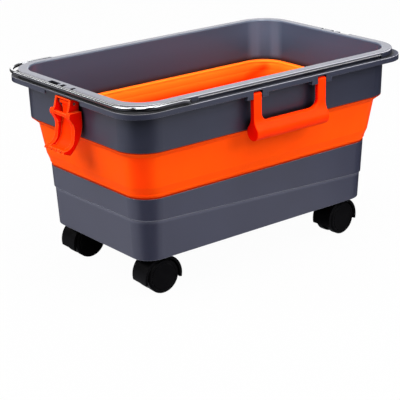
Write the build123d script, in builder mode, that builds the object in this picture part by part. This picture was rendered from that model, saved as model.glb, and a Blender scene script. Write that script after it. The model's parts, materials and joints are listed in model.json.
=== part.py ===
"""Collapsible wheeled bucket: a moulded rim ring, a folding rubber wall and a tub on four casters.

X runs along the long side, Y across it and Z up. The origin is on the floor, under the middle.
All sizes are millimetres.
"""
import os
from math import cos, radians, sin

from build123d import *

os.makedirs("parts", exist_ok=True)

# Heights, from the floor up
caster_height = 62.0
tub_height = 92.0
band_height = 76.5
ring_drop = 54.5
skirt_depth = 8.0
upper_height = 10.0

# Plan sizes: the ring wall drives the rest
ring_length = 498.0
ring_width = 303.0
ring_corner = 45.0
ring_draft = 1.5
rim_land = 12.0
rim_corner = 54.0
ledge = 4.5
flange_corner = 44.0
band_tuck = 10.0
band_corner = 40.0
band_taper = 11.3
tub_corner = 37.0
tub_draft = 5.0

# Walls and edges
wall = 3.0
plate = 2.5
skirt_wall = 2.5
ring_lip = 3.0
rim_edge_radius = 2.2
ledge_edge_radius = 0.9
body_gap = 0.4

# Folding wall: a long taper down to a knee, then a short slope in to the foot
band_wall = 2.2
knee_height = 19.0
knee_inset = 6.2
knee_radius = 14.0
shelf_thickness = 1.5
shelf_slope = 8.0
shelf_inset = 0.8
collar_reach = 4.0
collar_height = 2.5
bead_width = 2.4
bead_rise = 0.7
bead_height = 5.0

# Tub: the lower part is set in below a slanting step
step_inset = 1.8
step_chamfer = 1.4
step_height = 46.8
step_fall_x = 0.048
step_fall_y = 0.013
floor_thickness = 3.0
foot_depth = 3.4
foot_radius = 1.6

# Long slot in the upper wall of each long side, under a sloping lip, and small notches above each latch
slot_height = 5.0
slot_start = 16.0
slot_end_inset = 55.0
rim_lip_depth = 1.6
end_slot_height = 5.0
end_slot_reach = 7.0
end_slots = ((18.0, 24.0), (3.0, 8.0), (-21.0, 6.0))

# Wire bail round the left end
wire_diameter = 5.5
wire_standoff = 1.0
wire_corner = 43.0
wire_end_bend = 4.0
wire_reach = 99.0
wire_drop = 5.5
wire_end_depth = 10.0
wire_ramp = 14.0
wire_ramp_bend = 10.0
running_clearance = 0.1

# Carrying grips on the long sides
grip_width = 140.0
grip_offset = 16.0
grip_arm_width = 16.0
grip_arm_depth = 8.0
grip_diameter = 24.5
grip_hang = 55.5
grip_flare = 22.0
grip_bar_rise = 27.0
grip_window_corner = 13.0
grip_edge = 3.0
grip_end_edge = 1.2
grip_pin_diameter = 4.0
grip_pin_inset = 1.0
grip_pin_drop = 9.0
ear_width = 11.0
ear_gap = 0.6
ear_drop = 6.0
ear_depth = 8.0

# End latches: distances out from the ring wall, and drops below the ledge
latch_width = 50.0
latch_neck_width = 38.0
latch_wall = 3.0
latch_web = 2.6
latch_web_inset = 7.4
latch_notch = 90.0
latch_pin_diameter = 4.0
latch_pin_out = 9.0
latch_pin_drop = 12.0
latch_knuckle = 9.0
latch_back_out = 1.5
latch_back_drop = 31.0
latch_top_out = 15.0
latch_top_drop = 5.6
latch_bar_height = 2.4
latch_bar_depth = 4.0
latch_neck_out = 19.2
latch_neck_drop = 20.5
latch_step_drop = 23.3
latch_shoulder_out = 22.3
latch_shoulder_drop = 26.0
latch_shoulder_height = 4.5
latch_plate_drop = 38.0
latch_waist_out = 13.7
latch_waist_drop = 44.3
latch_waist_bend = 18.0
latch_shank_out = 16.0
latch_shank_drop = 60.0
latch_shank_depth = 10.5
latch_cove_out = 21.5
latch_cove_drop = 72.0
latch_lip_out = 35.7
latch_lip_drop = 79.6
latch_lip_slope = 2.4
latch_lip_height = 3.9
latch_foot_out = 23.6
latch_foot_drop = 83.7
latch_ear = 4.0
latch_ear_boss = 4.0
latch_ear_high = 9.0
latch_ear_low = 23.0
lip_notches = 4
lip_notch_pitch = 11.5
lip_notch_width = 4.5
lip_notch_depth = 2.2

# Casters
wheel_diameter = 52.0
wheel_width = 11.2
wheel_edge = 2.0
wheel_ring = 20.5
wheel_ring_width = 1.6
wheel_ring_depth = 0.7
wheel_bore_depth = 6.0
caster_width = 35.0
hood_gap = 2.0
hood_wall = 4.0
hood_web = 12.0
hood_low_angle = 14.0
hub_diameter = 14.0
side_gap = 0.4
trail = 9.0
axle_diameter = 6.0
stem_diameter = 8.0
stem_boss = 12.0
stem_collar = 15.0
stem_collar_height = 3.0
stem_bottom = 33.0
socket_depth = 24.0
socket_wall = 4.5
socket_cap = 3.0
stem_ring_drop = 6.0
stem_ring_height = 2.6
stem_ring_wall = 0.9
stem_groove = 0.7
caster_inset_x = 51.4
caster_inset_y = 29.7
caster_turns = {"front_left": -3.0, "rear_left": -1.0, "front_right": 4.0, "rear_right": 2.0}

# Levels
tub_bottom = caster_height
band_bottom = tub_bottom + tub_height
knee_level = band_bottom + knee_height
ring_bottom = band_bottom + band_height
skirt_bottom = ring_bottom + ring_drop
ledge_top = skirt_bottom + skirt_depth
rim_top = ledge_top + upper_height

# Outer sizes that follow from the ring wall
ring_foot_length = ring_length - 2 * ring_draft
ring_foot_width = ring_width - 2 * ring_draft
rim_length = ring_length + 2 * rim_land
rim_width = ring_width + 2 * rim_land
flange_length = rim_length + 2 * ledge
flange_width = rim_width + 2 * ledge
band_top_length = ring_foot_length - 2 * band_tuck
band_top_width = ring_foot_width - 2 * band_tuck
band_knee_length = band_top_length - 2 * knee_inset
band_knee_width = band_top_width - 2 * knee_inset
band_foot_length = band_top_length - 2 * band_taper
band_foot_width = band_top_width - 2 * band_taper
tub_foot_length = band_foot_length - 2 * tub_draft
tub_foot_width = band_foot_width - 2 * tub_draft
caster_x = tub_foot_length / 2 - caster_inset_x
caster_y = tub_foot_width / 2 - caster_inset_y


def rounded(level, length, width, corner):
    """A rounded rectangle, centred on the Z axis at the given height."""
    with BuildSketch(Plane.XY.offset(level)) as outline:
        RectangleRounded(length, width, corner)
    return outline.sketch


def drafted(low, high, low_size, high_size, mode=Mode.ADD):
    """A solid between two rounded rectangles; a size is its length, width and corner radius."""
    loft([rounded(low, *low_size), rounded(high, *high_size)], ruled=True, mode=mode)


def upright(level, height, size, mode=Mode.ADD):
    """A straight-sided rounded block from the given height up."""
    extrude(rounded(level, *size), amount=height, mode=mode)


def shrunk(size, inset):
    """The size of a rounded rectangle set in by the same distance all round."""
    length, width, corner = size
    return length - 2 * inset, width - 2 * inset, corner - inset


def outer_loop_edges(part, level):
    """The edges at one height that belong to the widest loop there."""
    edges = part.edges().filter_by_position(Axis.Z, level, level)
    return edges.sort_by(SortBy.DISTANCE)[-8:]


ring_size = (ring_length, ring_width, ring_corner)
ring_foot_size = (ring_foot_length, ring_foot_width, ring_corner)
rim_size = (rim_length, rim_width, rim_corner)
flange_size = (flange_length, flange_width, flange_corner)
band_top_size = (band_top_length, band_top_width, band_corner)
band_knee_size = (band_knee_length, band_knee_width, band_corner)
band_foot_size = (band_foot_length, band_foot_width, tub_corner)
tub_foot_size = (tub_foot_length, tub_foot_width, tub_corner - tub_draft)

# Hinge lines on the rim
grip_hinge_y = flange_width / 2 - grip_arm_depth / 2
grip_hinge_z = ledge_top - grip_pin_drop
latch_hinge_x = ring_length / 2 + latch_pin_out
latch_hinge_z = ledge_top - latch_pin_drop
wire_level = rim_top - wire_drop
wire_run_level = rim_top - wire_diameter / 2
wire_run_x = rim_length / 2 + wire_standoff + wire_diameter / 2
wire_run_y = rim_width / 2 + wire_standoff + wire_diameter / 2
wire_pivot_x = wire_reach - wire_run_x
grip_arm_centres = [grip_offset + side * (grip_width - grip_arm_width) / 2 for side in (-1, 1)]
ear_centre = (grip_arm_width + ear_width) / 2 + ear_gap
ear_height = ledge_top - plate / 2 - (skirt_bottom - ear_drop)
ear_middle = ledge_top - plate / 2 - ear_height / 2
latch_ear_y = latch_neck_width / 2 - latch_wall - side_gap - latch_ear / 2
long_sides = (-1, 1)
ends = (-1, 1)


def end_plane(end, offset=0.0):
    """At one end of the ring: x is the distance out from the wall and y is the height."""
    return Plane(origin=(end * ring_length / 2, offset, 0), x_dir=(end, 0, 0), z_dir=(0, -end, 0))


def grip_plane(side):
    """Through the middle of a grip: x is the distance out from its hinge and y is the height."""
    return Plane(origin=(grip_offset, side * grip_hinge_y, 0), x_dir=(0, side, 0), z_dir=(side, 0, 0))


# Rim frame: ring wall, hollow rim, ledge and skirt, with the hinge ears
with BuildPart() as rim_frame:
    drafted(ring_bottom, rim_top, ring_foot_size, ring_size)
    upright(skirt_bottom, skirt_depth, flange_size)
    fillet(outer_loop_edges(rim_frame, ledge_top), ledge_edge_radius)
    upright(ledge_top, upper_height, rim_size)
    fillet(outer_loop_edges(rim_frame, rim_top), rim_edge_radius)
    # the rim and the skirt are hollow from below
    with BuildSketch(Plane.XY.offset(skirt_bottom)) as skirt_hollow:
        RectangleRounded(*shrunk(flange_size, skirt_wall))
        RectangleRounded(*ring_size, mode=Mode.SUBTRACT)
    extrude(skirt_hollow.sketch, amount=skirt_depth - plate, mode=Mode.SUBTRACT)
    with BuildSketch(Plane.XY.offset(skirt_bottom)) as rim_hollow:
        RectangleRounded(*shrunk(rim_size, wall))
        RectangleRounded(*ring_size, mode=Mode.SUBTRACT)
    extrude(rim_hollow.sketch, amount=skirt_depth + upper_height - plate, mode=Mode.SUBTRACT)
    # the inside of the ring, down to the lip that carries the folding wall
    drafted(ring_bottom + ring_lip, rim_top, shrunk(ring_foot_size, wall),
            shrunk(ring_size, wall), mode=Mode.SUBTRACT)
    upright(ring_bottom, ring_lip, shrunk(band_top_size, -body_gap), mode=Mode.SUBTRACT)
    inner_edge = rim_frame.edges().filter_by_position(Axis.Z, rim_top, rim_top)
    fillet(inner_edge.sort_by(SortBy.DISTANCE)[:8], rim_edge_radius)
    # long slots in the upper wall, and the holes for the ends of the wire
    slot_left = wire_pivot_x + slot_start
    slot_right = rim_length / 2 - slot_end_inset
    slot_middle = (slot_left + slot_right) / 2
    slot_length = slot_right - slot_left
    upper_wall_y = (rim_width - wall) / 2
    rim_lip_height = upper_height - plate - slot_height
    for side in long_sides:
        with Locations((slot_middle, side * upper_wall_y, ledge_top + slot_height / 2)):
            Box(slot_length, 2 * wall, slot_height, mode=Mode.SUBTRACT)
        # above a slot the wall leans back to a groove under the edge of the rim
        lip_plane = Plane(origin=(slot_middle, side * rim_width / 2, ledge_top + slot_height),
                          x_dir=(0, side, 0), z_dir=(side, 0, 0))
        with BuildSketch(lip_plane) as lip_groove:
            with BuildLine():
                Polyline((0, 0), (-rim_lip_depth, rim_lip_height), (rim_lip_depth, rim_lip_height),
                         close=True)
            make_face()
        extrude(lip_groove.sketch, amount=slot_length / 2, both=True, mode=Mode.SUBTRACT)
        with Locations(Location((wire_pivot_x, side * upper_wall_y, wire_level), (90, 0, 0))):
            Cylinder(wire_diameter / 2 + running_clearance, 2 * wall, mode=Mode.SUBTRACT)
    # small notches in the edge of the rim above each latch
    for end in ends:
        for notch_from, notch_length in end_slots:
            with Locations((end * rim_length / 2, -end * (notch_from + notch_length / 2),
                            rim_top - end_slot_height / 2)):
                Box(2 * end_slot_reach, notch_length, end_slot_height, mode=Mode.SUBTRACT)
    # the skirt is notched for the latches and for the arms of the grips
    notch_height = skirt_depth - plate
    for end in ends:
        with Locations((end * flange_length / 2, 0, skirt_bottom + notch_height / 2)):
            Box(4 * skirt_wall, latch_notch, notch_height, mode=Mode.SUBTRACT)
    for side in long_sides:
        for arm_x in grip_arm_centres:
            with Locations((arm_x, side * flange_width / 2, skirt_bottom + notch_height / 2)):
                Box(grip_arm_width + 2 * ear_gap, 4 * skirt_wall, notch_height, mode=Mode.SUBTRACT)
            with Locations((arm_x - ear_centre, side * grip_hinge_y, ear_middle),
                           (arm_x + ear_centre, side * grip_hinge_y, ear_middle)):
                Box(ear_width, ear_depth, ear_height)
            with Locations(Location((arm_x, side * grip_hinge_y, grip_hinge_z), (0, 90, 0))):
                Cylinder(grip_pin_diameter / 2, grip_arm_width + 2 * (ear_gap + ear_width),
                         mode=Mode.SUBTRACT)
    # two ears at each end carry the latch pin
    for end in ends:
        for ear_y in (-latch_ear_y, latch_ear_y):
            with BuildSketch(end_plane(end, ear_y)) as latch_ear_shape:
                with Locations((latch_pin_out, latch_hinge_z)):
                    Circle(latch_ear_boss)
                with Locations((-wall / 4, latch_hinge_z - (latch_ear_high + latch_ear_low) / 2)):
                    Rectangle(wall / 2, latch_ear_low - latch_ear_high)
                make_hull()
                with Locations((latch_pin_out, latch_hinge_z)):
                    Circle(latch_pin_diameter / 2, mode=Mode.SUBTRACT)
            extrude(latch_ear_shape.sketch, amount=latch_ear / 2, both=True)
rim_frame.part.label = "rim_frame"
export_step(rim_frame.part, "parts/rim_frame.step")


def wall_form(inset):
    """The outer form of the folding wall, or with an inset the form of its hollow."""
    foot = shrunk(band_foot_size, inset)
    knee = shrunk(band_knee_size, inset)
    top = shrunk(band_top_size, inset)
    with BuildPart() as form:
        drafted(band_bottom, knee_level, foot, knee)
        drafted(knee_level, ring_bottom, knee, top)
        fillet(outer_loop_edges(form, knee_level), knee_radius)
        upright(ring_bottom, ring_lip + body_gap + collar_height, top)
    return form.part


# Folding wall: rubber, with a sloping shelf under the ring's lip, a collar over it and a bead at the foot
wall_outside = wall_form(0)
wall_inside = wall_form(band_wall)
bead_slope = (band_taper - knee_inset) / knee_height
shelf_level = ring_bottom - body_gap - shelf_thickness
shelf_size = shrunk(ring_foot_size, shelf_inset)
with BuildPart() as folding_wall:
    add(wall_outside)
    drafted(shelf_level - shelf_slope, shelf_level, shrunk(band_top_size, band_wall), shelf_size)
    upright(shelf_level, shelf_thickness, shelf_size)
    upright(ring_bottom + ring_lip + body_gap, collar_height, shrunk(band_top_size, -collar_reach))
    upright(band_bottom + bead_height, bead_width,
            shrunk(band_foot_size, -bead_rise - bead_slope * (bead_height + bead_width)))
    add(wall_inside, mode=Mode.SUBTRACT)
folding_wall.part.label = "folding_wall"
export_step(folding_wall.part, "parts/folding_wall.step")

# Lower tub: the wall above the slanting step stands out over the wall below it
step_plane = Plane(origin=(0, 0, tub_bottom + step_height), x_dir=(1, 0, -step_fall_x),
                   z_dir=(step_fall_x, step_fall_y, 1))
with BuildPart() as tub_upper:
    drafted(tub_bottom, band_bottom, tub_foot_size, band_foot_size)
    split(bisect_by=step_plane, keep=Keep.TOP)
    step_face = tub_upper.faces().filter_by(step_plane)[0]
    chamfer(step_face.outer_wire().edges(), step_chamfer)
foot_level = tub_bottom - foot_depth
foot_size = shrunk(tub_foot_size, step_inset + tub_draft * foot_depth / tub_height)
with BuildPart() as lower_tub:
    drafted(foot_level, band_bottom, foot_size, shrunk(band_foot_size, step_inset))
    fillet(lower_tub.edges().filter_by_position(Axis.Z, foot_level, foot_level), foot_radius)
    # the wall goes on below the floor as a low foot
    upright(foot_level, foot_depth, shrunk(foot_size, wall), mode=Mode.SUBTRACT)
    add(tub_upper.part)
    drafted(tub_bottom + floor_thickness, band_bottom, shrunk(tub_foot_size, wall + step_inset),
            shrunk(band_foot_size, wall), mode=Mode.SUBTRACT)
    # blind sockets for the caster stems
    with Locations((0, 0, tub_bottom)):
        with GridLocations(2 * caster_x, 2 * caster_y, 2, 2):
            Cylinder(stem_diameter / 2 + socket_wall, socket_depth + socket_cap,
                     align=(Align.CENTER, Align.CENTER, Align.MIN))
            Cylinder(stem_diameter / 2, socket_depth,
                     align=(Align.CENTER, Align.CENTER, Align.MIN), mode=Mode.SUBTRACT)
lower_tub.part.label = "lower_tub"
export_step(lower_tub.part, "parts/lower_tub.step")

# Pull bail: one bent wire whose ends step down and turn in through the upper wall
wire_end_y = rim_width / 2 - wire_end_depth
front_bends = [
    (wire_pivot_x, -wire_end_y, wire_level), (wire_pivot_x, -wire_run_y, wire_level),
    (wire_pivot_x - wire_ramp, -wire_run_y, wire_run_level), (-wire_run_x, -wire_run_y, wire_run_level)]
rear_bends = [(x, -y, z) for x, y, z in reversed(front_bends)]
bend_radii = [wire_end_bend, wire_ramp_bend, wire_corner]
with BuildPart() as pull_bail:
    with BuildLine() as wire_path:
        FilletPolyline(*front_bends, *rear_bends, radius=bend_radii + bend_radii[::-1])
    with BuildSketch(Plane(origin=wire_path.line @ 0, z_dir=wire_path.line % 0)) as wire_section:
        Circle(wire_diameter / 2)
    sweep(wire_section.sketch, path=wire_path.line)
pull_bail.part.label = "pull_bail"
export_step(pull_bail.part, "parts/pull_bail.step")


def make_grip(side):
    """A carrying grip: two arms that swell into a rounded bar, hung from pins in the ears."""
    bar_z = grip_hinge_z - grip_hang
    with BuildPart() as grip:
        with BuildSketch(grip_plane(side)) as section:
            with Locations((0, grip_hinge_z)):
                Circle(grip_arm_depth / 2)
            with Locations((0, (grip_hinge_z + bar_z) / 2)):
                Rectangle(grip_arm_depth, grip_hang)
            with Locations((0, bar_z)):
                Circle(grip_diameter / 2)
            fillet(section.vertices().sort_by(Axis.Y)[:2], grip_flare)
        extrude(section.sketch, amount=grip_width / 2, both=True)
        fillet(grip.faces().sort_by(Axis.X)[0].edges(), grip_end_edge)
        fillet(grip.faces().sort_by(Axis.X)[-1].edges(), grip_end_edge)
        # the hand gap between the arms
        window_foot = bar_z - grip_diameter / 2 + grip_bar_rise
        window_top = grip_hinge_z + grip_arm_depth
        window_plane = Plane(origin=(grip_offset, side * grip_hinge_y, 0), x_dir=(1, 0, 0),
                             z_dir=(0, -1, 0))
        with BuildSketch(window_plane) as window:
            with Locations((0, (window_foot + window_top) / 2)):
                Rectangle(grip_width - 2 * grip_arm_width, window_top - window_foot)
            fillet(window.vertices().group_by(Axis.Y)[0], grip_window_corner)
        extrude(window.sketch, amount=grip_diameter, both=True, mode=Mode.SUBTRACT)
        window_edges = grip.edges(Select.LAST).filter_by(Axis.Y, reverse=True)
        fillet(window_edges.filter_by_position(Axis.Z, window_foot, grip_hinge_z), grip_edge)
        for arm_x in grip_arm_centres:
            with Locations(Location((arm_x, side * grip_hinge_y, grip_hinge_z), (0, 90, 0))):
                Cylinder(grip_pin_diameter / 2 + running_clearance, 2 * grip_arm_width,
                         mode=Mode.SUBTRACT)
    return grip.part


def make_grip_pins(side):
    """The two hinge pins of one grip."""
    pin_length = grip_arm_width + 2 * (ear_gap + ear_width - grip_pin_inset)
    with BuildPart() as pins:
        for arm_x in grip_arm_centres:
            with Locations(Location((arm_x, side * grip_hinge_y, grip_hinge_z), (0, 90, 0))):
                Cylinder(grip_pin_diameter / 2, pin_length)
    return pins.part


for name, side in (("front", -1), ("rear", 1)):
    grip_part = make_grip(side)
    grip_part.label = name + "_grip"
    export_step(grip_part, "parts/" + name + "_grip.step")
    pins_part = make_grip_pins(side)
    pins_part.label = name + "_grip_pins"
    export_step(pins_part, "parts/" + name + "_grip_pins.step")


def below_ledge(out, drop):
    """A point on the side of a latch: its distance out from the ring wall and its drop below the ledge."""
    return out, ledge_top - drop


def latch_outline():
    """The side of a latch: a leaning head, a shoulder, a hollow waist and a flared lip."""
    back = below_ledge(latch_back_out, latch_back_drop)
    shoulder_foot = below_ledge(latch_shoulder_out, latch_shoulder_drop + latch_shoulder_height)
    waist = below_ledge(latch_waist_out, latch_waist_drop)
    shank = below_ledge(latch_shank_out, latch_shank_drop)
    lip_top = below_ledge(latch_lip_out - latch_lip_slope, latch_lip_drop - latch_lip_height)
    foot = below_ledge(latch_foot_out, latch_foot_drop)
    with BuildLine() as side_line:
        Polyline(
            back, below_ledge(latch_back_out, latch_top_drop + latch_pin_out / 2),
            below_ledge(latch_back_out + latch_wall, latch_top_drop),
            below_ledge(latch_top_out, latch_top_drop), below_ledge(latch_neck_out, latch_neck_drop),
            below_ledge(latch_shoulder_out, latch_shoulder_drop), shoulder_foot)
        FilletPolyline(shoulder_foot, waist, shank, radius=latch_waist_bend)
        ThreePointArc(shank, below_ledge(latch_cove_out, latch_cove_drop), lip_top)
        Polyline(lip_top, below_ledge(latch_lip_out, latch_lip_drop), foot)
        ThreePointArc(foot, below_ledge(latch_shank_out - latch_shank_depth, latch_shank_drop), back)
    return side_line


def make_latch(end):
    """An end latch: two curved side walls, a sunken web hung from a knuckle, two bars and a finger lip."""
    neck_y = (latch_neck_width - latch_wall) / 2
    lower_wall = (latch_width - latch_neck_width + latch_wall) / 2
    lower_y = (latch_width - lower_wall) / 2
    inside = latch_neck_width - latch_wall
    outline = latch_outline()
    with BuildPart() as latch:
        # the side walls, closer together at the head than below the step
        for wall_y in (-neck_y, neck_y):
            with BuildSketch(end_plane(end, wall_y)) as neck:
                add(outline.line)
                make_face()
                with Locations(below_ledge(0, latch_waist_drop)):
                    Rectangle(2 * latch_lip_out, latch_foot_drop, align=(Align.MIN, Align.MAX),
                              mode=Mode.SUBTRACT)
            extrude(neck.sketch, amount=latch_wall / 2, both=True)
        for wall_y in (-lower_y, lower_y):
            with BuildSketch(end_plane(end, wall_y)) as lower:
                add(outline.line)
                make_face()
                with Locations(below_ledge(0, latch_step_drop)):
                    Rectangle(2 * latch_lip_out, latch_step_drop, align=(Align.MIN, Align.MIN),
                              mode=Mode.SUBTRACT)
            extrude(lower.sketch, amount=lower_wall / 2, both=True)
        # the web between the walls, set back from their front edges
        web_out = latch_waist_out - latch_web_inset
        web_shank = below_ledge(latch_shank_out - latch_web_inset, latch_shank_drop)
        web_cove = below_ledge(latch_cove_out - latch_web_inset, latch_cove_drop)
        with BuildSketch(end_plane(end)) as web:
            with BuildLine():
                Polyline(below_ledge(web_out, latch_plate_drop), below_ledge(web_out, latch_waist_drop),
                         web_shank)
                ThreePointArc(web_shank, web_cove, below_ledge(latch_foot_out, latch_lip_drop))
            trace(line_width=latch_web)
        extrude(web.sketch, amount=inside / 2, both=True)
        # the knuckle round the pin, between the ears, and the plate from it down to the web
        with BuildSketch(end_plane(end)) as knuckle:
            with BuildLine():
                Line(below_ledge(latch_pin_out, latch_pin_drop),
                     below_ledge(web_out, latch_plate_drop + latch_web))
            trace(line_width=latch_web)
            with Locations(below_ledge(latch_pin_out, latch_pin_drop)):
                Circle(latch_knuckle / 2)
        extrude(knuckle.sketch, amount=latch_ear_y - latch_ear / 2 - side_gap, both=True)
        # the bars of the head and the shoulder, and the lip
        with BuildSketch(end_plane(end)) as bars:
            with Locations(below_ledge(latch_top_out, latch_top_drop)):
                Rectangle(latch_bar_depth, latch_bar_height, align=(Align.MAX, Align.MAX))
            with Locations(below_ledge(latch_shoulder_out - latch_wall / 2, latch_shoulder_drop)):
                Rectangle(latch_bar_depth, latch_shoulder_height, align=(Align.MAX, Align.MAX))
            with BuildLine():
                Polyline(
                    below_ledge(latch_lip_out - latch_lip_slope, latch_lip_drop - latch_lip_height),
                    below_ledge(latch_lip_out, latch_lip_drop), below_ledge(latch_foot_out, latch_foot_drop),
                    below_ledge(latch_cove_out, latch_lip_drop - latch_web), close=True)
            make_face()
        extrude(bars.sketch, amount=inside / 2, both=True)
        # finger notches along the lip
        with Locations((end * (ring_length / 2 + latch_lip_out), 0, ledge_top - latch_lip_drop)):
            with GridLocations(0, lip_notch_pitch, 1, lip_notches):
                Box(2 * lip_notch_depth, lip_notch_width, 2 * latch_lip_height, mode=Mode.SUBTRACT)
        with Locations(Location((end * latch_hinge_x, 0, latch_hinge_z), (90, 0, 0))):
            Cylinder(latch_pin_diameter / 2 + running_clearance, latch_width, mode=Mode.SUBTRACT)
    return latch.part


for name, end in (("left", -1), ("right", 1)):
    latch_part = make_latch(end)
    latch_part.label = name + "_latch"
    export_step(latch_part, "parts/" + name + "_latch.step")
    with BuildPart() as latch_pin:
        with Locations(Location((end * latch_hinge_x, 0, latch_hinge_z), (90, 0, 0))):
            Cylinder(latch_pin_diameter / 2, latch_neck_width)
    latch_pin.part.label = name + "_latch_pin"
    export_step(latch_pin.part, "parts/" + name + "_latch_pin.step")

# Casters: each one stands on its own plane, with the stem at the origin and X trailing outward
wheel_radius = wheel_diameter / 2
hood_radius = wheel_radius + hood_gap + hood_wall
wheel_inner_y = hood_web / 2 + side_gap + running_clearance
hub_half = hood_web / 2 + side_gap / 2
collar_bottom = tub_bottom - stem_collar_height
stem_top = tub_bottom + socket_depth


def caster_plane(name):
    """The plane of one caster: its origin is on the floor under the stem, and X points to the wheels."""
    across = -1 if name.startswith("front") else 1
    along = -1 if name.endswith("left") else 1
    turn = radians(caster_turns[name])
    return Plane(origin=(along * caster_x, across * caster_y, 0),
                 x_dir=(along * cos(turn), along * sin(turn), 0), z_dir=(0, 0, 1))


def side_view(base):
    """A caster's side: x along the trail, y up, seen along the axle."""
    return Plane(origin=base.origin, x_dir=base.x_dir, z_dir=-base.y_dir)


def below_hood():
    """The part of a caster's side view that the hood leaves open: a wide angle under the axle."""
    reach = 2 * hood_radius
    low_x = reach * cos(radians(hood_low_angle))
    low_z = wheel_radius - reach * sin(radians(hood_low_angle))
    with BuildLine() as open_side:
        Polyline((trail, wheel_radius), (trail + low_x, low_z), (trail + low_x, -reach),
                 (trail - low_x, -reach), (trail - low_x, low_z), close=True)
    return open_side.line


def make_hood(base):
    """The hood: a fender over both wheels on a web that holds the axle and the stem."""
    with BuildPart() as hood:
        with BuildSketch(side_view(base)) as fender:
            with Locations((trail, wheel_radius)):
                Circle(hood_radius)
                Circle(hood_radius - hood_wall, mode=Mode.SUBTRACT)
            make_face(below_hood(), mode=Mode.SUBTRACT)
        extrude(fender.sketch, amount=caster_width / 2, both=True)
        with BuildSketch(side_view(base)) as web:
            with Locations((trail, wheel_radius)):
                Circle(hood_radius - hood_wall / 2)
            make_face(below_hood(), mode=Mode.SUBTRACT)
        extrude(web.sketch, amount=hood_web / 2, both=True)
        with BuildSketch(side_view(base)) as hub:
            with Locations((trail, wheel_radius)):
                Circle(hub_diameter / 2)
        extrude(hub.sketch, amount=hub_half, both=True)
        with BuildSketch(base.offset(collar_bottom - body_gap)) as boss:
            Circle(stem_boss / 2)
        extrude(boss.sketch, until=Until.NEXT, dir=(0, 0, -1))
        with BuildSketch(base.offset(stem_bottom)) as stem_bore:
            Circle(stem_diameter / 2 + running_clearance)
        extrude(stem_bore.sketch, amount=caster_height, mode=Mode.SUBTRACT)
        with BuildSketch(side_view(base)) as axle_bore:
            with Locations((trail, wheel_radius)):
                Circle(axle_diameter / 2)
        extrude(axle_bore.sketch, amount=caster_width, both=True, mode=Mode.SUBTRACT)
    return hood.part


def make_stem(base):
    """The stem: a journal in the hood, a collar under the tub and a grooved top in the socket."""
    with BuildPart() as stem:
        with BuildSketch(base.offset(stem_bottom + body_gap)):
            Circle(stem_diameter / 2)
        extrude(amount=stem_top - stem_bottom - 2 * body_gap)
        with BuildSketch(base.offset(collar_bottom)):
            Circle(stem_collar / 2)
        extrude(amount=stem_collar_height)
        with BuildSketch(base.offset(stem_top - stem_ring_drop - stem_ring_height)):
            Circle(stem_diameter)
            Circle(stem_diameter / 2 - stem_groove, mode=Mode.SUBTRACT)
        extrude(amount=stem_ring_height, mode=Mode.SUBTRACT)
    return stem.part


def make_axle(base):
    """The axle through the hub, with its ends hidden in the wheels."""
    with BuildPart() as axle:
        with BuildSketch(side_view(base)):
            with Locations((trail, wheel_radius)):
                Circle(axle_diameter / 2)
        extrude(amount=wheel_inner_y + wheel_bore_depth - side_gap, both=True)
    return axle.part


def make_wheel(base, side):
    """One wheel: a solid disc with a bevelled outer edge, a ring line on its face and a blind bore."""
    centre = base.from_local_coords((trail, 0, wheel_radius))
    section_plane = Plane(origin=centre, x_dir=base.x_dir, z_dir=(0, 0, 1))
    inner = side * wheel_inner_y
    outer = side * (wheel_inner_y + wheel_width)
    bore_end = side * (wheel_inner_y + wheel_bore_depth)
    outer_end = -1 if side > 0 else 0
    with BuildPart() as wheel:
        with BuildSketch(section_plane) as section:
            with BuildLine():
                Polyline((axle_diameter / 2 + running_clearance, inner), (wheel_radius, inner),
                         (wheel_radius, outer), (0, outer), (0, bore_end),
                         (axle_diameter / 2 + running_clearance, bore_end), close=True)
            make_face()
            chamfer(section.vertices().group_by(Axis.X)[-1].sort_by(Axis.Y)[outer_end], wheel_edge)
            with Locations((wheel_ring, outer)):
                Rectangle(wheel_ring_width, 2 * wheel_ring_depth, mode=Mode.SUBTRACT)
        revolve(section.sketch, axis=Axis(centre, base.y_dir))
    return wheel.part


for name in caster_turns:
    base = caster_plane(name)
    outer_side = 1 if name in ("front_left", "rear_right") else -1
    pieces = {
        "hood": make_hood(base),
        "stem": make_stem(base),
        "axle": make_axle(base),
        "outer_wheel": make_wheel(base, outer_side),
        "inner_wheel": make_wheel(base, -outer_side),
    }
    for piece_name, piece in pieces.items():
        piece.label = name + "_" + piece_name
        export_step(piece, "parts/" + piece.label + ".step")

# Spring rings that hold the stems in their sockets, open on one side
with BuildPart() as stem_rings:
    for name in caster_turns:
        ring_base = caster_plane(name).offset(stem_top - stem_ring_drop - stem_ring_height + body_gap)
        with BuildSketch(ring_base):
            Circle(stem_diameter / 2)
            Circle(stem_diameter / 2 - stem_groove, mode=Mode.SUBTRACT)
            with Locations((stem_diameter / 2, 0)):
                Rectangle(stem_diameter, stem_ring_wall, mode=Mode.SUBTRACT)
        extrude(amount=stem_ring_height - 2 * body_gap)
stem_rings.part.label = "stem_rings"
export_step(stem_rings.part, "parts/stem_rings.step")
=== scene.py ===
import json
import math
import bmesh
import bpy
from mathutils import Matrix, Vector


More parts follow.
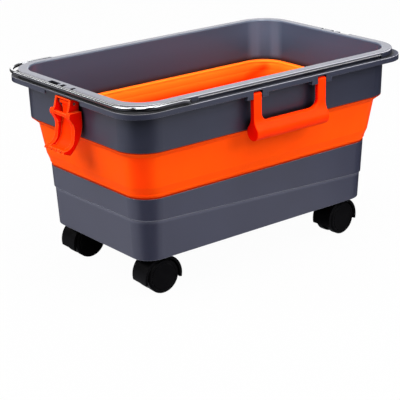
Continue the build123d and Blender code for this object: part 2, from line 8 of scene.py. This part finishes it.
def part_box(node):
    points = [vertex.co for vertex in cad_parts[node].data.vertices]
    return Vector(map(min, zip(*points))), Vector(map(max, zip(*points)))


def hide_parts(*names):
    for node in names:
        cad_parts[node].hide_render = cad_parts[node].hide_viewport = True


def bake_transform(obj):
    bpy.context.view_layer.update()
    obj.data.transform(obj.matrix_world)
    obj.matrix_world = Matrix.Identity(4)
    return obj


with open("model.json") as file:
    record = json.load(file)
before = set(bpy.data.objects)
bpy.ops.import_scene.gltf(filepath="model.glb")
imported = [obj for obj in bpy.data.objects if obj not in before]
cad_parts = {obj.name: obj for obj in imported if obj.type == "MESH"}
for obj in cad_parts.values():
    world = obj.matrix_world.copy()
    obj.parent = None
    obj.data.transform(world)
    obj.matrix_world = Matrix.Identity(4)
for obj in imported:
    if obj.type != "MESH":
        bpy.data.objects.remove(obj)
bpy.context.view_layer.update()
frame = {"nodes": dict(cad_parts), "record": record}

mm = 0.001  # the bucket's lengths below are in millimetres, and the studio's in metres
print("frame loaded with", len(frame["nodes"]), "nodes")


# a shader socket that takes part in plain arithmetic
class Sock:
    def __init__(self, tree, out=None):
        self.tree = tree
        self.out = out

    # any node: its settings first, then the values or links of its sockets
    def node(self, kind, settings=None, sockets=None, output=0):
        made = self.tree.nodes.new(kind)
        for key, value in (settings or {}).items():
            setattr(made, key, value)
        for key, value in (sockets or {}).items():
            if isinstance(value, Sock):
                value.feed(made.inputs[key])
            else:
                made.inputs[key].default_value = value
        return Sock(self.tree, made.outputs[output])

    def feed(self, target):
        self.tree.links.new(self.out, target)

    def maths(self, operation, first, second=0.0):
        return self.node("ShaderNodeMath", {"operation": operation}, {0: first, 1: second})

    def __add__(self, other):
        return self.maths("ADD", self, other)

    def __radd__(self, other):
        return self.maths("ADD", other, self)

    def __sub__(self, other):
        return self.maths("SUBTRACT", self, other)

    def __rsub__(self, other):
        return self.maths("SUBTRACT", other, self)

    def __mul__(self, other):
        return self.maths("MULTIPLY", self, other)

    def __rmul__(self, other):
        return self.maths("MULTIPLY", other, self)

    def __abs__(self):
        return self.maths("ABSOLUTE", self)


# vector sums: a vector comes out, or a plain value from a dot product or a distance
def vectors(operation, first, second=(0.0, 0.0, 0.0), output="Vector"):
    return first.node("ShaderNodeVectorMath", {"operation": operation}, {0: first, 1: second}, output)


def dot(first, second):
    return vectors("DOT_PRODUCT", first, second, "Value")


def along(axis, vector):
    return vector.node("ShaderNodeSeparateXYZ", {}, {"Vector": vector}, axis)


# one colour over another, each a socket or three numbers
def tint(mask, under, over):
    under, over = (shade if isinstance(shade, Sock) else (*shade, 1.0) for shade in (under, over))
    return mask.node("ShaderNodeMix", {"data_type": "RGBA"}, {0: mask, 6: under, 7: over}, 2)


# a mask that is 0 up to the low value and 1 from the high one on
def squeeze(value, low, high):
    sockets = {"Value": value, "From Min": low, "From Max": high}
    return value.node("ShaderNodeMapRange", {"clamp": True}, sockets)


def clouds(place, size, detail=3.0, roughness=0.55):
    sockets = {"Vector": place, "Scale": 1.0 / (size * mm), "Detail": detail, "Roughness": roughness}
    return place.node("ShaderNodeTexNoise", {}, sockets)


# clouds lie about one half, so this lies about nothing
def swing(cloud, spread):
    return (cloud - 0.5) * spread


def relief(height, normal, depth):
    sockets = {"Strength": 1.0, "Distance": depth * mm, "Height": height, "Normal": normal}
    return height.node("ShaderNodeBump", {}, sockets)


def normalAt(place):
    return place.node("ShaderNodeNewGeometry", output="Normal")


# large where a face turns from one side to the next, with a sign for each pair of opposite corners
def cornerTurn(normal):
    return along("X", normal) * along("Y", normal)


# rays per sample, and how far a rounded normal leans off where an edge starts to show and is full
maskLook = {"edgeRays": 6, "edgeSpan": (0.02, 0.25), "creaseRays": 8}


# the normal rounded at the edges, and a mask of those edges
def edgeMask(place, radius):
    rounded = place.node("ShaderNodeBevel", {"samples": maskLook["edgeRays"]}, {"Radius": radius * mm})
    return rounded, squeeze(1 - dot(rounded, normalAt(place)), *maskLook["edgeSpan"])


# a mask of corners and creases, where little light comes in
def creaseMask(place, look):
    sockets = {"Distance": look["creaseReach"] * mm}
    free = place.node("ShaderNodeAmbientOcclusion", {"samples": maskLook["creaseRays"]}, sockets, "AO")
    return squeeze(1 - free, *look["creaseSpan"])


def metres(lengths):
    return tuple(length * mm for length in lengths)


# a finish: a new material, its shader, and the place on the piece in metres
def newFinish(name, constants):
    material = bpy.data.materials.new(name)
    material.use_nodes = True
    shader = material.node_tree.nodes["Principled BSDF"]
    for key, value in constants.items():
        shader.inputs[key].default_value = value
    place = Sock(material.node_tree).node("ShaderNodeTexCoord", output="Object")
    return material, shader, place


# what moulded finishes start from: patches of shade, edges, an uneven roughness and a fine grain
def mouldedSkin(place, look):
    patches = clouds(place, look["patch"], look["patchDetail"])
    grain = clouds(place, look["grain"], look["grainDetail"])
    rounded, edge = edgeMask(place, look["edge"])
    roughness = look["roughness"] + swing(patches, look["roughnessSpread"])
    if "grainSpread" in look:
        roughness = roughness + swing(grain, look["grainSpread"])
    return patches, edge, roughness, relief(grain, rounded, look["grainDepth"])


def dress(shader, colour, roughness, normal):
    colour.feed(shader.inputs["Base Color"])
    roughness.feed(shader.inputs["Roughness"])
    normal.feed(shader.inputs["Normal"])


def wear(nodeNames, material):
    for name in nodeNames:
        piece = frame["nodes"][name]
        piece.data.materials.clear()
        piece.data.materials.append(material)


# grey moulded plastic of the rim and the tub; a span says where a mask starts and where it is full, and a
# depthSpan is in heights above the floor
greyLook = {
    "colour": (0.0206, 0.0226, 0.0396), "pale": (0.0230, 0.0254, 0.0440),
    "patch": 70.0, "patchDetail": 3.0, "patchSpan": (0.35, 0.65),
    "roughness": 0.34, "roughnessSpread": 0.08, "specular": 0.4,
    "grain": 0.45, "grainDetail": 2.0, "grainDepth": 0.015, "grainSpread": 0.12,
    "edge": 1.1, "edgeWearAndHighlight": 0.80, "scuffAndHighlight": (0.20, 0.205, 0.25),
    "edgePatch": 4.0, "edgePatchSpan": (0.42, 0.62), "edgePatchShare": 0.5,
    "bevelSpan": (0.40, 0.60), "flatSpan": (-0.95, -0.90), "bevelHighlight": (0.20, 0.21, 0.26),
    "creaseShade": (0.003, 0.003, 0.0045), "creaseReach": 5.0, "creaseSpan": (0.10, 0.50),
    "inwardSpan": (0.03, 0.06), "inside": (0.040, 0.050, 0.078),
    "insideDeepShade": (0.0220, 0.0300, 0.0480), "depthSpan": (240.0, 285.0)}
# the ring's shoulders and two of its inside corners get a painted highlight; its ledge, measured down from
# the top, is dull
ringLook = {
    **greyLook, "creaseReach": 10.0, "creaseSpan": (0.07, 0.40),
    "shoulderStart": (0.25, 0.45), "shoulderEnd": (0.80, 0.95), "shoulderHighlight": (0.27, 0.265, 0.29),
    "streakSpan": (0.0, 0.24), "streakMiddle": (0.41, 0.48), "streakDip": 0.70,
    "streakHighlight": (0.056, 0.068, 0.098), "insideEdgeShare": 0.3,
    "ledgeDrop": (8.5, 6.0), "ledgeUp": (0.85, 0.95), "ledgeDull": 0.50}
# the tub's step is a plane: its height at the middle above the tub's foot, its fall along x and y, and
# how far down the strip of painted highlight under it reaches
# the tub wears a paler copy of the grey plastic, inside and out: painted light
tubLitLook = {
    **greyLook, "colour": (0.0245, 0.0262, 0.0480), "pale": (0.0272, 0.0292, 0.0530), "specular": 0.56,
    "inside": (0.0410, 0.0445, 0.0715), "insideDeepShade": (0.0360, 0.0390, 0.0640), "depthSpan": (65.0, 154.0),
    "stepRise": 50.2, "stepFall": (0.048, 0.013), "stepEdge": 0.3,
    "stripReach": 5.0, "stripFull": 1.5, "stripHighlight": (0.066, 0.069, 0.102)}


# the strip under the tub's step, which gets a painted highlight
def stepStrip(place, look):
    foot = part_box("lower_tub")[0].z
    slant = dot(place, (*look["stepFall"], 1.0)) - (foot + look["stepRise"] * mm)
    strip = squeeze(slant, -look["stripReach"] * mm, -look["stripFull"] * mm)
    return strip * (1 - squeeze(slant, -look["stepEdge"] * mm, look["stepEdge"] * mm))


# a painted highlight streak either side of an inside corner's middle
def cornerStreaks(normal, look):
    turned = cornerTurn(normal)
    dip = look["streakDip"] * squeeze(turned, *look["streakMiddle"])
    return squeeze(turned, *look["streakSpan"]) * (1 - dip)


def makeGrey(name, look):
    material, shader, place = newFinish(name, {"Specular IOR Level": look["specular"]})
    patches, edge, roughness, skin = mouldedSkin(place, look)
    body = tint(squeeze(patches, *look["patchSpan"]), look["colour"], look["pale"])
    # faces that look towards the middle get a paler colour, painted light, with painted shade deeper further
    # down
    normal = normalAt(place)
    height = along("Z", place)
    fromMiddle = vectors("MULTIPLY", place, (1.0, 1.0, 0.0))
    inward = squeeze(0 - dot(normal, fromMiddle), *look["inwardSpan"])
    inside = tint(squeeze(height, *metres(look["depthSpan"])), look["insideDeepShade"], look["inside"])
    # two inside corners of the ring get painted highlight streaks
    if "streakHighlight" in look:
        inside = tint(cornerStreaks(normal, look), inside, look["streakHighlight"])
    body = tint(inward, body, inside)
    # faces that lean down, like the bevel under the step, get a painted highlight and look paler
    lean = along("Z", normal)
    bevel = squeeze(0 - lean, *look["bevelSpan"]) * squeeze(lean, *look["flatSpan"])
    body = tint(bevel, body, look["bevelHighlight"])
    if "stripHighlight" in look:
        body = tint(stepStrip(place, look), body, look["stripHighlight"])
    # rounded edges that face up get a painted highlight, outside only
    if "shoulderHighlight" in look:
        shoulder = squeeze(lean, *look["shoulderStart"]) * (1 - squeeze(lean, *look["shoulderEnd"]))
        body = tint(shoulder * (1 - inward), body, look["shoulderHighlight"])
    # painted shade in corners and creases, kept off the bevel
    creaseShade = creaseMask(place, look) * (1 - bevel)
    body = tint(creaseShade, body, look["creaseShade"])
    # edges get uneven scuffs and a painted highlight, and the ring's get less of both on its inside
    patchyEdge = squeeze(clouds(place, look["edgePatch"]), *look["edgePatchSpan"])
    uneven = (1 - look["edgePatchShare"]) + look["edgePatchShare"] * patchyEdge
    wornAndLit = edge * (1 - creaseShade) * uneven * look["edgeWearAndHighlight"]
    if "insideEdgeShare" in look:
        wornAndLit = wornAndLit * (1 - (1 - look["insideEdgeShare"]) * inward)
    if "ledgeDull" in look:
        low, high = (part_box("rim_frame")[1].z - drop * mm for drop in look["ledgeDrop"])
        ledge = squeeze(lean, *look["ledgeUp"]) * (1 - squeeze(height, low, high))
        roughness = roughness + ledge * look["ledgeDull"]
    dress(shader, tint(wornAndLit, body, look["scuffAndHighlight"]), roughness, skin)
    return material


# orange rubber of the folding wall; foot is measured up from the tub's top, brow down from the ring's foot
orangeLook = {
    "colour": (1.0, 0.080, 0.0012), "deep": (1.0, 0.073, 0.0010),
    "patch": 55.0, "patchDetail": 2.0, "patchSpan": (0.3, 0.7),
    "roughness": 0.55, "roughnessSpread": 0.12, "specular": 0.03,
    "grain": 0.6, "grainDetail": 2.0, "grainDepth": 0.012,
    "edge": 0.9, "edgeShare": 0.6, "edgeHighlight": (1.0, 0.18, 0.03),
    "creaseShade": (0.96, 0.058, 0.0), "creaseReach": 5.0, "creaseSpan": (0.10, 0.50),
    "foot": (2.0, 3.6), "shade": (0.28, 0.012, 0.0)}
# outside, the corners get a painted shade, redder
outerLook = {
    **orangeLook, "cornerSpan": (0.22, 0.47), "cornerShade": (1.0, 0.046, 0.0004), "brow": (2.1, 1.3)}
# inside, the rubber is a paler copy, painted light; painted shade gets redder further down, a painted fold
# shadow rises round each corner, and painted shade lies on the collar under the ring
innerLitLook = {
    **orangeLook, "colour": (1.0, 0.275, 0.016), "deep": (1.0, 0.26, 0.014),
    "depthSpan": (207.0, 236.0), "deepShade": (0.96, 0.034, 0.0),
    "foldStart": (196.5, 136.9, 207.0), "foldEnd": (225.0, 128.5, 222.5), "foldSpan": (1.0, 13.0),
    "collarUp": (0.50, 0.90), "collarShade": (1.0, 0.125, 0.008)}


# how far a point is from the line between two places, the same in every corner
def distanceFrom(place, first, last):
    span = Vector(last) - Vector(first)
    offset = vectors("SUBTRACT", vectors("ABSOLUTE", place), first)
    share = squeeze(dot(offset, span / span.length_squared), 0.0, 1.0)
    nearest = place.node("ShaderNodeVectorMath", {"operation": "SCALE"}, {0: span, "Scale": share})
    return vectors("DISTANCE", offset, nearest, "Value")


def makeOrange(name, look):
    material, shader, place = newFinish(name, {"Specular IOR Level": look["specular"]})
    patches, edge, roughness, skin = mouldedSkin(place, look)
    normal = normalAt(place)
    height = along("Z", place)
    body = tint(squeeze(patches, *look["patchSpan"]), look["deep"], look["colour"])
    # painted shade: redder further down, a fold shadow round each corner, and the collar's top under the ring
    if "deepShade" in look:
        body = tint(1 - squeeze(height, *metres(look["depthSpan"])), body, look["deepShade"])
        fold = distanceFrom(place, metres(look["foldStart"]), metres(look["foldEnd"]))
        body = tint(1 - squeeze(fold, *metres(look["foldSpan"])), body, look["deepShade"])
        body = tint(squeeze(along("Z", normal), *look["collarUp"]), body, look["collarShade"])
    # painted shade at the outside corners
    if "cornerShade" in look:
        body = tint(squeeze(abs(cornerTurn(normal)), *look["cornerSpan"]), body, look["cornerShade"])
    # painted shade in corners and creases
    body = tint(creaseMask(place, look), body, look["creaseShade"])
    # a painted highlight on the edges
    body = tint(edge * look["edgeShare"], body, look["edgeHighlight"])
    # the foot of the wall lies in the shade of its own bead, and the brow in the shade of the ring
    low, high = (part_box("lower_tub")[1].z + rise * mm for rise in look["foot"])
    body = tint(1 - squeeze(height, low, high), body, look["shade"])
    if "brow" in look:
        low, high = (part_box("rim_frame")[0].z - drop * mm for drop in look["brow"])
        body = tint(squeeze(height, low, high), body, look["shade"])
    dress(shader, body, roughness, skin)
    return material


# red-orange plastic of the grips and latches
redLook = {
    "colour": (0.97, 0.036, 0.0006), "deep": (0.95, 0.032, 0.0005),
    "patch": 30.0, "patchDetail": 2.0, "patchSpan": (0.3, 0.7),
    "roughness": 0.40, "roughnessSpread": 0.1, "specular": 0.02,
    "grain": 0.5, "grainDetail": 2.0, "grainDepth": 0.010,
    "edge": 1.3, "edgeWearAndHighlight": 0.9, "scuffAndHighlight": (1.0, 0.22, 0.05),
    "creaseShade": (0.52, 0.004, 0.0), "creaseReach": 9.0, "creaseSpan": (0.10, 0.50),
    "cheekShade": (0.88, 0.004, 0.0), "cheekSpan": (0.70, 0.92)}


def makeRed(name, look, hingeAxis):
    material, shader, place = newFinish(name, {"Specular IOR Level": look["specular"]})
    patches, edge, roughness, skin = mouldedSkin(place, look)
    body = tint(squeeze(patches, *look["patchSpan"]), look["deep"], look["colour"])
    # the cheeks, square to the hinge, get a painted shade, a deeper red than the faces
    cheekShade = squeeze(abs(dot(normalAt(place), hingeAxis)), *look["cheekSpan"])
    body = tint(cheekShade, body, look["cheekShade"])
    # painted shade in corners and creases
    body = tint(creaseMask(place, look), body, look["creaseShade"])
    # edges get scuffs and a painted highlight
    dress(shader, tint(edge * look["edgeWearAndHighlight"], body, look["scuffAndHighlight"]), roughness, skin)
    return material


# black nylon of the caster hoods and wheels, with dust on its edges
blackLook = {
    "colour": (0.0016, 0.0015, 0.0018), "pale": (0.0024, 0.0023, 0.0027),
    "patch": 12.0, "patchDetail": 3.0, "patchSpan": (0.35, 0.65),
    "roughness": 0.40, "roughnessSpread": 0.2, "specular": 0.03,
    "grain": 0.5, "grainDetail": 2.0, "grainDepth": 0.010,
    "edge": 0.7, "edgeDust": 0.50, "dust": (0.030, 0.030, 0.032)}


def makeBlack(name, look):
    material, shader, place = newFinish(name, {"Specular IOR Level": look["specular"]})
    patches, edge, roughness, skin = mouldedSkin(place, look)
    body = tint(squeeze(patches, *look["patchSpan"]), look["colour"], look["pale"])
    dress(shader, tint(edge * patches * look["edgeDust"], body, look["dust"]), roughness, skin)
    return material


# plain steel and bright wire; the wire has painted shade where it doesn't face up and, along x, near its
# pivots
steelLook = {
    "colour": (0.56, 0.56, 0.57), "dull": (0.38, 0.38, 0.38), "patch": 3.0, "dullSpan": (0.45, 0.75),
    "roughness": 0.30, "roughSpan": (0.4, 0.8), "roughnessRise": 0.08,
    "scratch": 0.2, "scratchDetail": 4.0, "scratchDepth": 0.01}
wireLook = {
    **steelLook, "colour": (0.32, 0.325, 0.335), "dull": (0.25, 0.255, 0.265), "patch": 6.0,
    "roughness": 0.07, "scratch": 0.25, "scratchDepth": 0.002,
    "wireShade": (0.08, 0.08, 0.085), "upSpan": (0.08, 0.50),
    "pivotSpan": (-228.0, -200.0), "pivotShare": 0.85}


def makeMetal(name, look):
    material, shader, place = newFinish(name, {"Metallic": 1.0})
    patches = clouds(place, look["patch"])
    scratch = clouds(place, look["scratch"], look["scratchDetail"])
    normal = normalAt(place)
    body = tint(squeeze(patches, *look["dullSpan"]), look["colour"], look["dull"])
    # painted shade on the wire's underside and near its pivots
    if "wireShade" in look:
        body = tint(1 - squeeze(along("Z", normal), *look["upSpan"]), body, look["wireShade"])
        nearPivot = squeeze(along("X", place), *metres(look["pivotSpan"])) * look["pivotShare"]
        body = tint(nearPivot, body, look["wireShade"])
    roughness = look["roughness"] + squeeze(patches, *look["roughSpan"]) * look["roughnessRise"]
    dress(shader, body, roughness, relief(scratch, normal, look["scratchDepth"]))
    return material


# grips hinge along x and latches along y
finishes = {
    "grey_plastic": makeGrey("greyPlastic", ringLook),
    "orange_rubber": makeOrange("orangeRubber", outerLook),
    "red_plastic": makeRed("redPlastic", redLook, (1.0, 0.0, 0.0)),
    "chrome_wire": makeMetal("brightWire", wireLook),
    "steel": makeMetal("plainSteel", steelLook),
    "black_plastic": makeBlack("blackNylon", blackLook)}
for entry in frame["record"]["subparts"]:
    wear([entry["node"]], finishes[entry["material_slot"]])
# the tub's paler copy of the grey is painted light
wear(["lower_tub"], makeGrey("tubPlasticLit", tubLitLook))
wear(["left_latch", "right_latch"], makeRed("latchPlastic", redLook, (0.0, 1.0, 0.0)))


# folding wall: a rubber profile carried round the bucket, measured out from the tub's edge and up from
# its top; sideSteps are along the long sides and the ends
bandShape = {
    "corner": 37.0, "cornerGain": 0.27, "arcSteps": 16, "sideSteps": (40, 24),
    "filletSteps": 5, "filletShare": 0.48, "evenWeight": 90,
    "wall": 2.2, "soft": 0.4, "footRise": 3.6, "beadOut": 1.5, "beadRise": 5.6, "beadTop": 7.8,
    "kneeOut": 5.1, "kneeRise": 19.0, "kneeRound": 13.0, "slopeDrop": 8.0, "slopeRound": 4.0,
    "bulgeOut": 12.0, "bulgeDrop": 9.0, "bulgeRound": 6.0, "shelfHeight": 1.5, "shelfGap": 0.4,
    "neckOut": 11.2, "lipHeight": 3.0, "collarOut": 15.3, "collarHeight": 2.5, "lipIn": 0.9, "lipDrop": 3.0,
    "innerCorners": 9}  # the last corners of the profile, from under the collar on, have the inner shade


# rounds the corners of a closed outline of (x, y, radius) corners; a fillet takes less than half a side
def roundOutline(corners, steps, share):
    points = []
    for index, (x, y, radius) in enumerate(corners):
        here = Vector((x, y))
        before = Vector(corners[index - 1][:2]) - here
        after = Vector(corners[(index + 1) % len(corners)][:2]) - here
        half = before.angle(after) / 2
        reach = min(radius / math.tan(half), share * before.length, share * after.length)
        centre = here + (before.normalized() + after.normalized()).normalized() * (reach / math.cos(half))
        first = here + before.normalized() * reach - centre
        last = here + after.normalized() * reach - centre
        for step in range(steps + 1):
            points.append(centre + first.slerp(last, step / steps) * first.length)
    return points


# a rounded rectangle as a loop of places, the same count for every size
def roundLoop(halfX, halfY, corner, level, shape):
    arcs = []
    for quarter, (signX, signY) in enumerate([(1, -1), (1, 1), (-1, 1), (-1, -1)]):
        middle = Vector((signX * (halfX - corner), signY * (halfY - corner), level))
        arc = []
        for step in range(shape["arcSteps"] + 1):
            turn = math.radians(90 * (quarter - 1) + 90 * step / shape["arcSteps"])
            arc.append(middle + Vector((math.cos(turn), math.sin(turn), 0)) * corner)
        arcs.append(arc)
    loop = []
    for index, arc in enumerate(arcs):
        following = arcs[(index + 1) % len(arcs)]
        count = shape["sideSteps"][(index + 1) % 2]  # an end comes first, then a long side
        loop += arc
        loop += [arc[-1].lerp(following[0], step / count) for step in range(1, count)]
    return loop


# the wall's profile: up the outside to the collar, then down the inside
def bandOutline(shape, shelfOut, ringRise):
    wall = shape["wall"]
    soft = shape["soft"]
    shelfTop = ringRise - shape["shelfGap"]
    shelfFoot = shelfTop - shape["shelfHeight"]
    collarFoot = ringRise + shape["lipHeight"] + shape["shelfGap"]
    collarTop = collarFoot + shape["collarHeight"]
    outside = [
        (0, 0, soft), (0, shape["footRise"], soft),
        (shape["beadOut"], shape["beadRise"], 2 * soft), (shape["beadOut"], shape["beadTop"], 2 * soft),
        (shape["kneeOut"], shape["kneeRise"], shape["kneeRound"]),
        (shape["bulgeOut"], shelfFoot - shape["slopeDrop"], shape["slopeRound"]),
        (shelfOut, shelfFoot, 2 * soft), (shelfOut, shelfTop, soft),
        (shape["neckOut"], shelfTop, soft), (shape["neckOut"], collarFoot, soft),
        (shape["collarOut"], collarFoot, soft), (shape["collarOut"], collarTop, 2 * soft)]
    neckIn = shape["neckOut"] - wall
    lipOut = neckIn - shape["lipIn"]
    lipFoot = collarTop - shape["lipDrop"]
    inside = [
        (lipOut, collarTop, 2 * soft), (lipOut, lipFoot, soft), (neckIn, lipFoot - shape["lipIn"], soft),
        (neckIn, shelfFoot, shape["bulgeRound"]),
        (shape["bulgeOut"] - wall, shelfFoot - shape["bulgeDrop"], shape["bulgeRound"]),
        (shape["kneeOut"] - wall, shape["kneeRise"], shape["kneeRound"]), (-wall, 0, soft)]
    return roundOutline(outside + inside, shape["filletSteps"], shape["filletShare"])


def makeBand(shape):
    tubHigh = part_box("lower_tub")[1]
    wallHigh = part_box("folding_wall")[1]
    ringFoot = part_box("rim_frame")[0]
    ringRise = (wallHigh.z - tubHigh.z) / mm - shape["collarHeight"] - shape["lipHeight"] - shape["shelfGap"]
    shelfOut = (wallHigh.x - tubHigh.x) / mm
    mesh = bmesh.new()
    rings = []
    for out, rise in bandOutline(shape, shelfOut, ringRise):
        corner = (shape["corner"] + shape["cornerGain"] * out) * mm
        level = tubHigh.z + rise * mm
        loop = roundLoop(tubHigh.x + out * mm, tubHigh.y + out * mm, corner, level, shape)
        rings.append([mesh.verts.new(place) for place in loop])
    inner = len(rings) - shape["innerCorners"] * (shape["filletSteps"] + 1)
    for index, ring in enumerate(rings):
        following = rings[(index + 1) % len(rings)]
        for step in range(len(ring)):
            onward = (step + 1) % len(ring)
            made = mesh.faces.new((ring[step], ring[onward], following[onward], following[step]))
            made.material_index = 1 if index >= inner else 0
    bmesh.ops.recalc_face_normals(mesh, faces=mesh.faces)
    for face in mesh.faces:
        face.smooth = True
    data = bpy.data.meshes.new("foldingBand")
    mesh.to_mesh(data)
    mesh.free()
    band = bpy.data.objects.new("foldingBand", data)
    bpy.context.scene.collection.objects.link(band)
    band.modifiers.new("evenShading", "WEIGHTED_NORMAL").weight = shape["evenWeight"]
    data.materials.append(finishes["orange_rubber"])
    data.materials.append(makeOrange("innerRubberLit", innerLitLook))
    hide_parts("folding_wall")
    top = tubHigh.z + (ringRise - shape["shelfGap"] - shape["shelfHeight"]) * mm
    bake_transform(band)
    print("folding wall made, its shelf", round((ringFoot.z - top) / mm, 2), "mm below the ring")


makeBand(bandShape)


# studio, in metres and degrees: the direction at an azimuth and an elevation, seen from the bucket
def towards(azimuth, elevation):
    turn = math.radians(azimuth)
    lift = math.radians(elevation)
    return Vector((math.cos(turn) * math.cos(lift), math.sin(turn) * math.cos(lift), math.sin(lift)))


cameraSpot = {
    "azimuth": 231.824, "elevation": 19.726, "roll": -1.366, "target": (-0.0141, 0.0111, 0.0712),
    "distance": 2.104, "lens": 120.07, "sensor": 36.0}


def makeCamera(settings):
    back = towards(settings["azimuth"], settings["elevation"])
    right = towards(settings["azimuth"] + 90.0, 0.0)
    up = back.cross(right)
    roll = math.radians(settings["roll"])
    across = math.cos(roll) * right + math.sin(roll) * up
    upright = math.cos(roll) * up - math.sin(roll) * right
    lensData = bpy.data.cameras.new("photoCamera")
    lensData.lens = settings["lens"]
    lensData.sensor_width = settings["sensor"]
    holder = bpy.data.objects.new("photoCamera", lensData)
    bpy.context.scene.collection.objects.link(holder)
    place = Vector(settings["target"]) + back * settings["distance"]
    turnMatrix = Matrix((across, upright, back)).transposed().to_4x4()
    holder.matrix_world = Matrix.Translation(place) @ turnMatrix
    bpy.context.scene.camera = holder


makeCamera(cameraSpot)
print("camera set")

# panels round the bucket, all aimed at its middle
panelAim = (0.0, 0.0, 0.17)
panels = [
    {"name": "leftBox", "azimuth": 161.0, "elevation": 43.0, "distance": 2.6,
     "size": (2.2, 2.0), "watts": 95.0},
    {"name": "frontBox", "azimuth": 306.0, "elevation": 31.0, "distance": 2.6,
     "size": (1.6, 1.6), "watts": 56.0},
    {"name": "fillBox", "azimuth": 236.0, "elevation": 35.0, "distance": 2.6,
     "size": (1.2, 1.2), "watts": 24.0},
    {"name": "topBox", "azimuth": 270.0, "elevation": 75.0, "distance": 2.6,
     "size": (1.5, 1.3), "watts": 86.0},
    {"name": "rearBox", "azimuth": 50.0, "elevation": 58.0, "distance": 2.6,
     "size": (1.2, 1.2), "watts": 32.0},
    {"name": "backBox", "azimuth": 52.0, "elevation": 17.0, "distance": 2.8,
     "size": (2.6, 0.9), "watts": 12.0},
    {"name": "sideStrip", "azimuth": 124.0, "elevation": 27.0, "distance": 2.6,
     "size": (1.2, 0.2), "watts": 6.0}]
# narrow beams over the rim into the far corner and onto the right end's inside
beams = [
    {"name": "cornerBeam", "azimuth": 232.0, "elevation": 25.0, "distance": 2.6, "aim": (0.236, 0.138, 0.272),
     "cone": 2.2, "blend": 1.0, "radius": 0.03, "watts": 260.0},
    {"name": "endBeam", "azimuth": 198.0, "elevation": 30.0, "distance": 2.6, "aim": (0.245, 0.0, 0.268),
     "cone": 6.5, "blend": 1.0, "radius": 0.10, "watts": 150.0}]


def makeLamp(settings, data, aim):
    data.energy = settings["watts"]
    lamp = bpy.data.objects.new(settings["name"], data)
    bpy.context.scene.collection.objects.link(lamp)
    direction = towards(settings["azimuth"], settings["elevation"])
    lamp.location = direction * settings["distance"] + Vector(aim)
    lamp.rotation_euler = (-direction).to_track_quat("-Z", "Y").to_euler()


for panel in panels:
    sheet = bpy.data.lights.new(panel["name"], "AREA")
    sheet.shape = "RECTANGLE"
    sheet.size, sheet.size_y = panel["size"]
    makeLamp(panel, sheet, panelAim)
for beam in beams:
    spot = bpy.data.lights.new(beam["name"], "SPOT")
    spot.spot_size = math.radians(beam["cone"])
    spot.spot_blend = beam["blend"]
    spot.shadow_soft_size = beam["radius"]
    makeLamp(beam, spot, beam["aim"])

pureWhite = (1.0, 1.0, 1.0, 1.0)
floorLook = {
    "size": 30.0, "drop": 0.0005, "colour": (0.30, 0.30, 0.305), "roughness": 0.9, "specular": 0.1,
    "white": 0.975, "sheen": (0.80, 0.81, 0.90), "gap": (0.03, 0.03, 0.03),
    "gapAzimuth": 232.0, "gapStart": (-0.19, -0.115, 0.0), "gapSpan": (0.52, 0.86),
    "endAxis": (1.0, 0.7, 0.0), "endSpan": (0.06, 0.26)}


# the floor as the bucket's gloss shows it: a pale sweep with a dark gap, in line with the camera through
# the bucket's front left corner, and dark past the right end
def floorSweep(place, settings):
    outward = vectors("NORMALIZE", vectors("SUBTRACT", place, settings["gapStart"]))
    facing = abs(dot(outward, towards(settings["gapAzimuth"], 0.0)))
    sweep = tint(squeeze(facing, *settings["gapSpan"]), settings["sheen"], settings["gap"])
    return tint(squeeze(dot(place, settings["endAxis"]), *settings["endSpan"]), sweep, settings["gap"])


# to the camera the floor is nearly white and keeps part of the shadow
def makeFloor(settings):
    mesh = bpy.data.meshes.new("studioFloor")
    half = settings["size"] / 2
    corners = [(x * half, y * half, -settings["drop"]) for x, y in ((-1, -1), (1, -1), (1, 1), (-1, 1))]
    mesh.from_pydata(corners, [], [(0, 1, 2, 3)])
    floor = bpy.data.objects.new("studioFloor", mesh)
    bpy.context.scene.collection.objects.link(floor)
    constants = {"Base Color": (*settings["colour"], 1.0), "Roughness": settings["roughness"],
                 "Specular IOR Level": settings["specular"]}
    material, shader, place = newFinish("studioFloor", constants)
    fromCamera = place.node("ShaderNodeLightPath", output="Is Camera Ray")
    fromGloss = place.node("ShaderNodeLightPath", output="Is Glossy Ray")
    white = place.node("ShaderNodeEmission", {}, {"Color": pureWhite, "Strength": 1.0})
    mirrored = place.node("ShaderNodeEmission", {}, {"Color": floorSweep(place, settings), "Strength": 1.0})
    plain = Sock(material.node_tree, shader.outputs[0])
    seen = place.node("ShaderNodeMixShader", {}, {0: fromCamera * settings["white"], 1: plain, 2: white})
    either = place.node("ShaderNodeMixShader", {}, {0: fromGloss, 1: seen, 2: mirrored})
    either.feed(material.node_tree.nodes["Material Output"].inputs["Surface"])
    mesh.materials.append(material)


makeFloor(floorLook)

worldLook = {
    "light": (0.80, 0.82, 0.88), "strength": 0.03, "aroundWhite": 0.22,
    "backdropAzimuth": 52.0, "backdropElevation": 15.0, "backdropSpan": (0.84, 0.94)}


# white to the camera; the bucket's gloss shows a white backdrop behind it and a dim surround
def makeWorld(settings):
    world = bpy.data.worlds.new("studio")
    bpy.context.scene.world = world
    world.use_nodes = True
    start = Sock(world.node_tree)
    fromCamera = start.node("ShaderNodeLightPath", output="Is Camera Ray")
    fromGloss = start.node("ShaderNodeLightPath", output="Is Glossy Ray")
    light = {"Color": (*settings["light"], 1.0), "Strength": settings["strength"]}
    soft = start.node("ShaderNodeBackground", {}, light)
    white = start.node("ShaderNodeBackground", {}, {"Color": pureWhite, "Strength": 1.0})
    outward = start.node("ShaderNodeTexCoord", output="Generated")
    facing = dot(outward, towards(settings["backdropAzimuth"], settings["backdropElevation"]))
    around = settings["aroundWhite"]
    backdrop = around + (1.0 - around) * squeeze(facing, *settings["backdropSpan"])
    seen = start.node("ShaderNodeMixShader", {}, {0: fromCamera + fromGloss * backdrop, 1: soft, 2: white})
    seen.feed(world.node_tree.nodes["World Output"].inputs["Surface"])


makeWorld(worldLook)
bpy.context.scene.view_settings.view_transform = "Standard"
print("studio lit")
